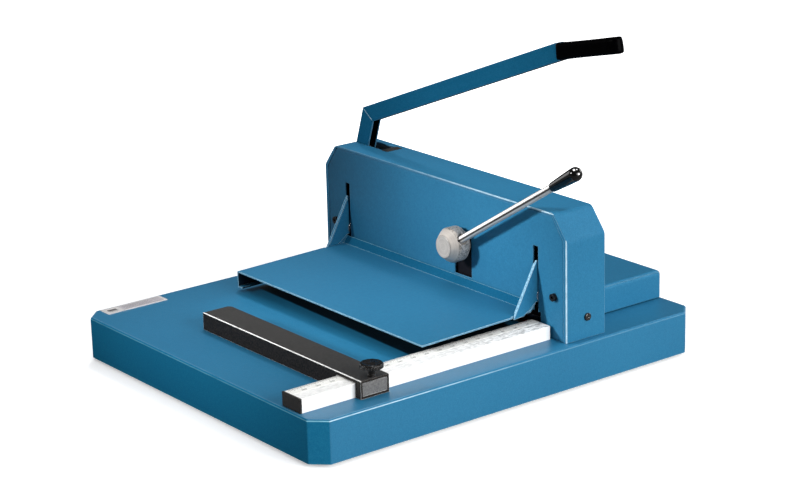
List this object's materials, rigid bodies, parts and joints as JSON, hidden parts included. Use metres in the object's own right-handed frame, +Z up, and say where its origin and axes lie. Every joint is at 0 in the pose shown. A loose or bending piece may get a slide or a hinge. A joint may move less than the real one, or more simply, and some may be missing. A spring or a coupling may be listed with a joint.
{
  "type": "guillotine paper cutter",
  "caption": "Table-top stack cutter: flat bed, lever-driven swing blade in a bridge, hand clamp, hinged front guard, sliding back gauge on a scale rail and rear cover.",
  "frame": {"origin": "centre of the four stand-fixing holes, on the underside of the base flange (the rubber feet stand 4 mm below it)", "axes": "+Z up; +Y across the table from the loading end with the back gauge, through the bridge, to the rear cover; +X along the bridge from the lever pivot side to the scale rail side"},
  "size_m": [0.5572, 0.6, 0.4451],
  "materials": {
    "blue_paint": "satin fine-textured powder coat, steel blue",
    "frame_steel": "mill-finish steel, lightly oiled",
    "dark_steel": "dark primer on the frame, blade carrier and press bar",
    "blade_steel": "ground tool steel",
    "bright_steel": "polished steel",
    "black_screws": "black oxide",
    "bronze": "sintered bronze",
    "turned_aluminium": "turned and brushed, bright",
    "rail_aluminium": "bright anodised extrusion",
    "scale_white": "white strip with black graduations",
    "label_silver": "silver, satin, blank",
    "rubber_black": "black rubber",
    "gloss_black": "polished black phenolic",
    "gauge_black": "black satin paint",
    "grey_plastic": "dark grey moulded plastic",
    "black_plastic": "black moulded plastic",
    "stick_plastic": "red cutting stick"
  },
  "bodies": {
    "root": {"base_tray": "blue_paint", "base_stiffeners": "dark_steel", "rubber_feet": "rubber_black", "foot_screws": "black_screws", "cutting_bed": "frame_steel", "cutting_stick": "stick_plastic", "bed_bolts": "black_screws", "right_side_frame": "dark_steel", "left_side_frame": "dark_steel", "rear_beam": "dark_steel", "top_tie_bar": "dark_steel", "frame_screws": "black_screws", "hood": "blue_paint", "lever_slot_liner": "black_plastic", "front_panel": "blue_paint", "rear_panel": "blue_paint", "rear_panel_screws": "black_screws", "front_panel_screws": "black_screws", "hood_side_screws": "bright_steel", "pivot_shafts": "bright_steel", "retaining_rings": "black_screws", "clamp_guide_rods": "bright_steel", "clamp_springs": "bright_steel", "guard_pivot_pins": "bright_steel", "guard_pin_washers": "bright_steel", "scale_rail": "rail_aluminium", "rail_end_cap": "grey_plastic", "rail_screws": "black_screws", "scale_strip": "scale_white", "label_plate": "label_silver", "bridge_hinge_leaves": "blue_paint", "cover_hinge_pins": "bright_steel"},
    "lever": {"cutting_lever": "blue_paint", "lever_grip": "rubber_black", "lever_crank": "frame_steel", "lever_bush": "bronze", "lever_bolts": "black_screws", "lever_crank_pin": "bright_steel"},
    "crank": {"swing_crank": "frame_steel", "swing_crank_bush": "bronze", "swing_crank_pin": "bright_steel"},
    "blade_beam": {"blade_carrier": "dark_steel", "blade": "blade_steel", "blade_screws": "black_screws"},
    "clamp": {"press_bar": "dark_steel", "clamp_shaft": "bright_steel"},
    "clamp_lever": {"clamp_hub": "turned_aluminium", "clamp_rod": "bright_steel", "clamp_handle": "gloss_black"},
    "guard": {"guard_plate": "blue_paint", "guard_arm_left": "blue_paint", "guard_arm_right": "blue_paint"},
    "gauge": {"gauge_bar": "gauge_black", "gauge_end_plate": "grey_plastic"},
    "knob": {"gauge_knob": "gloss_black", "gauge_clamp_screw": "black_screws"},
    "cover": {"rear_cover": "blue_paint", "cover_hinge_knuckles": "blue_paint"}
  },
  "joints": [
    {"name": "lever_pull", "type": "hinge", "parent": "root", "child": "lever", "pos_m": [-0.222, 0.13, 0.158], "axis": [0, 1, 0], "range_deg": [0, 22]},
    {"name": "crank_swing", "type": "hinge", "parent": "root", "child": "crank", "pos_m": [0.118, 0.13, 0.158], "axis": [0, 1, 0], "range_deg": [0, 22]},
    {"name": "blade_swing", "type": "hinge", "parent": "lever", "child": "blade_beam", "pos_m": [-0.15018, 0.115, 0.13186], "axis": [0, 1, 0], "range_deg": [-22, 0]},
    {"name": "clamp_slide", "type": "slide", "parent": "root", "child": "clamp", "axis": [0, 0, -1], "range_m": [0, 0.02], "deforming": ["clamp_springs"]},
    {"name": "clamp_lever_turn", "type": "hinge", "parent": "clamp", "child": "clamp_lever", "pos_m": [0.048, 0.0715, 0.141], "axis": [0, 1, 0], "range_deg": [-15, 20]},
    {"name": "guard_tilt", "type": "hinge", "parent": "root", "child": "guard", "pos_m": [0, 0.094, 0.104], "axis": [-1, 0, 0], "range_deg": [0, 24]},
    {"name": "gauge_slide", "type": "slide", "parent": "root", "child": "gauge", "axis": [0, 1, 0], "range_m": [-0.07, 0.245]},
    {"name": "gauge_knob_turn", "type": "hinge", "parent": "gauge", "child": "knob", "pos_m": [0.2252, -0.1962, 0.085], "axis": [0, 0, 1], "range_deg": [-180, 180]},
    {"name": "rear_cover_lift", "type": "hinge", "parent": "root", "child": "cover", "pos_m": [0, 0.1555, 0.0885], "axis": [1, 0, 0], "range_deg": [0, 70]}
  ],
  "couplings": [
    {"joint": "crank_swing", "follows": "lever_pull", "ratio": 1},
    {"joint": "blade_swing", "follows": "lever_pull", "ratio": -1}
  ]
}
